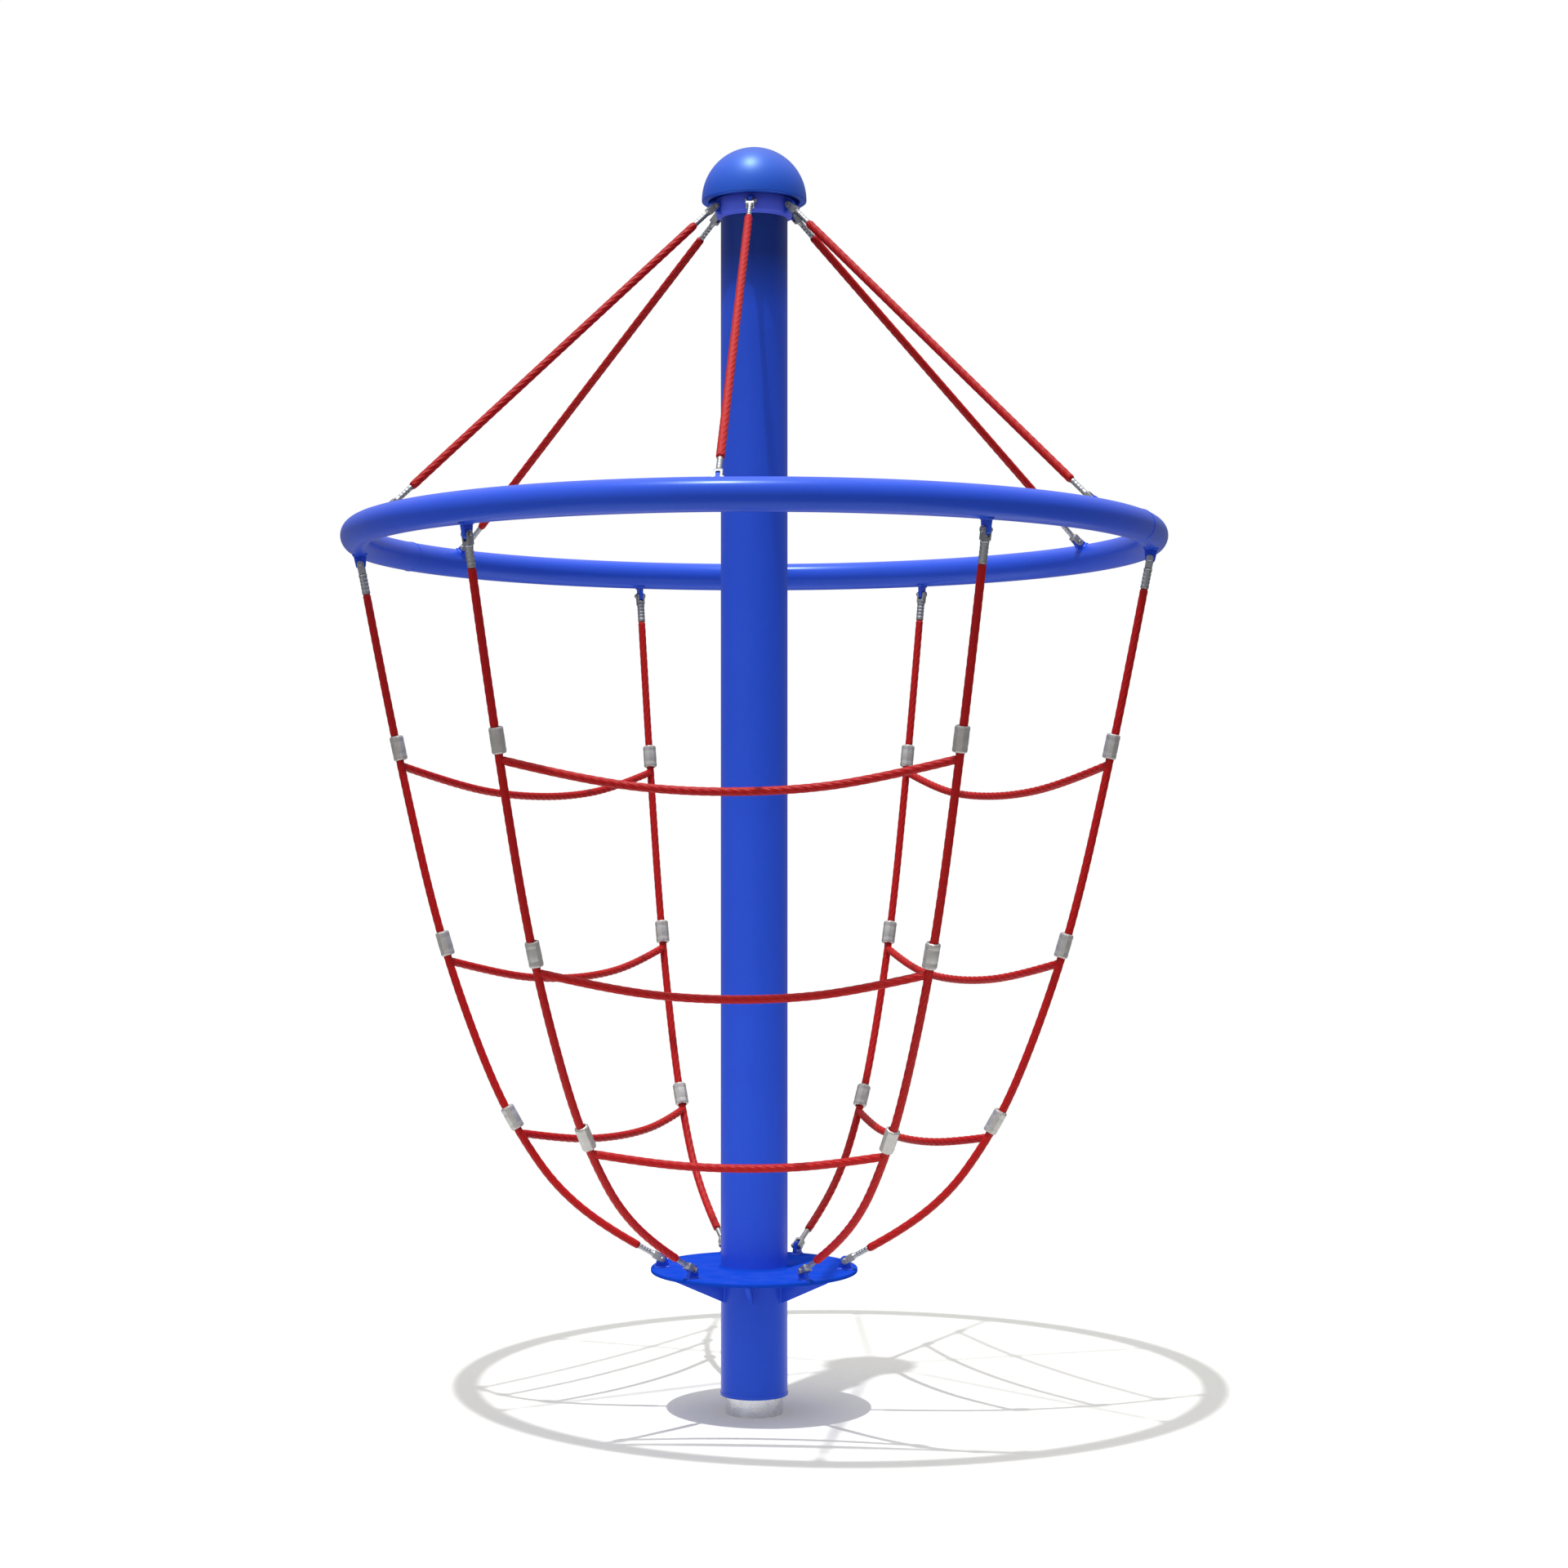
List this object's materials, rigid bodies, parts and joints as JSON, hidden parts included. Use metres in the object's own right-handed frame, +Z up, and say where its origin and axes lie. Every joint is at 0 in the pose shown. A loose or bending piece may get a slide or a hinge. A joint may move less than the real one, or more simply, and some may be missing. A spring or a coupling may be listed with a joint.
{
  "type": "rotating rope climber",
  "caption": "Playground climber that spins on an in-ground post: a domed mast carries a round hoop on straight ropes, with a bowl-shaped rope net down to a foot disc.",
  "frame": {"origin": "on the axis of the mast at ground level, where the post leaves the ground", "axes": "+Z up along the mast, -Y towards the middle of the front panel of the net"},
  "size_m": [1.6304, 1.6304, 2.9163],
  "materials": {
    "mast_paint": "satin powder coat",
    "hoop_paint": "satin powder coat",
    "cap_paint": "gloss powder coat",
    "galvanised": "hot-dip galvanised",
    "machined_steel": "machined and oiled",
    "bearing_steel": "ground and polished",
    "cage_brass": "machined",
    "seal_rubber": "matt",
    "rope_fibre": "twisted strands of polyester over steel",
    "sleeve_aluminium": "pressed, satin",
    "terminal_steel": "stainless, satin"
  },
  "bodies": {
    "base": {"anchor_flange": "galvanised", "anchor_gussets": "galvanised", "ground_post": "galvanised", "post_head": "machined_steel", "spindle": "machined_steel", "lower_inner_ring": "bearing_steel", "upper_inner_ring": "bearing_steel", "lock_washer": "machined_steel", "lock_nut": "machined_steel"},
    "carousel": {"lower_housing": "machined_steel", "upper_housing": "machined_steel", "mast_top_plate": "machined_steel", "cap_stud": "machined_steel", "hoop_joint_sleeves": "machined_steel", "lower_outer_ring": "bearing_steel", "upper_outer_ring": "bearing_steel", "bearing_circlips": "bearing_steel", "dust_seal": "seal_rubber", "mast_tube": "mast_paint", "foot_disc": "mast_paint", "foot_gussets": "mast_paint", "foot_lugs": "mast_paint", "top_collar": "mast_paint", "collar_lugs": "mast_paint", "dome_cap": "cap_paint", "hoop_half_rear": "hoop_paint", "hoop_half_front": "hoop_paint", "hoop_lugs": "hoop_paint", "suspension_terminals": "terminal_steel", "hoop_terminals": "terminal_steel", "foot_terminals": "terminal_steel", "clevis_pins": "terminal_steel", "pin_clips": "terminal_steel", "tee_sleeves": "sleeve_aluminium", "upright_rope_1": "rope_fibre", "upright_rope_2": "rope_fibre", "upright_rope_3": "rope_fibre", "upright_rope_4": "rope_fibre", "upright_rope_5": "rope_fibre", "upright_rope_6": "rope_fibre", "suspension_rope_1": "rope_fibre", "suspension_rope_2": "rope_fibre", "suspension_rope_3": "rope_fibre", "suspension_rope_4": "rope_fibre", "suspension_rope_5": "rope_fibre", "suspension_rope_6": "rope_fibre", "rung_upper_front": "rope_fibre", "rung_upper_right": "rope_fibre", "rung_upper_left": "rope_fibre", "rung_middle_front": "rope_fibre", "rung_middle_right": "rope_fibre", "rung_middle_left": "rope_fibre", "rung_lower_front": "rope_fibre", "rung_lower_right": "rope_fibre", "rung_lower_left": "rope_fibre"},
    "lower_ball_set": {"lower_balls": "bearing_steel", "lower_cage": "cage_brass"},
    "upper_ball_set": {"upper_balls": "bearing_steel", "upper_cage": "cage_brass"}
  },
  "joints": [
    {"name": "carousel_spin", "type": "hinge", "parent": "base", "child": "carousel", "pos_m": [0, 0, 0.89], "axis": [0, 0, 1], "continuous": true},
    {"name": "lower_cage_spin", "type": "hinge", "parent": "base", "child": "lower_ball_set", "pos_m": [0, 0, 0.126], "axis": [0, 0, 1], "continuous": true},
    {"name": "upper_cage_spin", "type": "hinge", "parent": "base", "child": "upper_ball_set", "pos_m": [0, 0, 0.89], "axis": [0, 0, 1], "continuous": true}
  ],
  "couplings": [
    {"joint": "lower_cage_spin", "follows": "carousel_spin", "ratio": 0.59338},
    {"joint": "upper_cage_spin", "follows": "carousel_spin", "ratio": 0.59071}
  ]
}
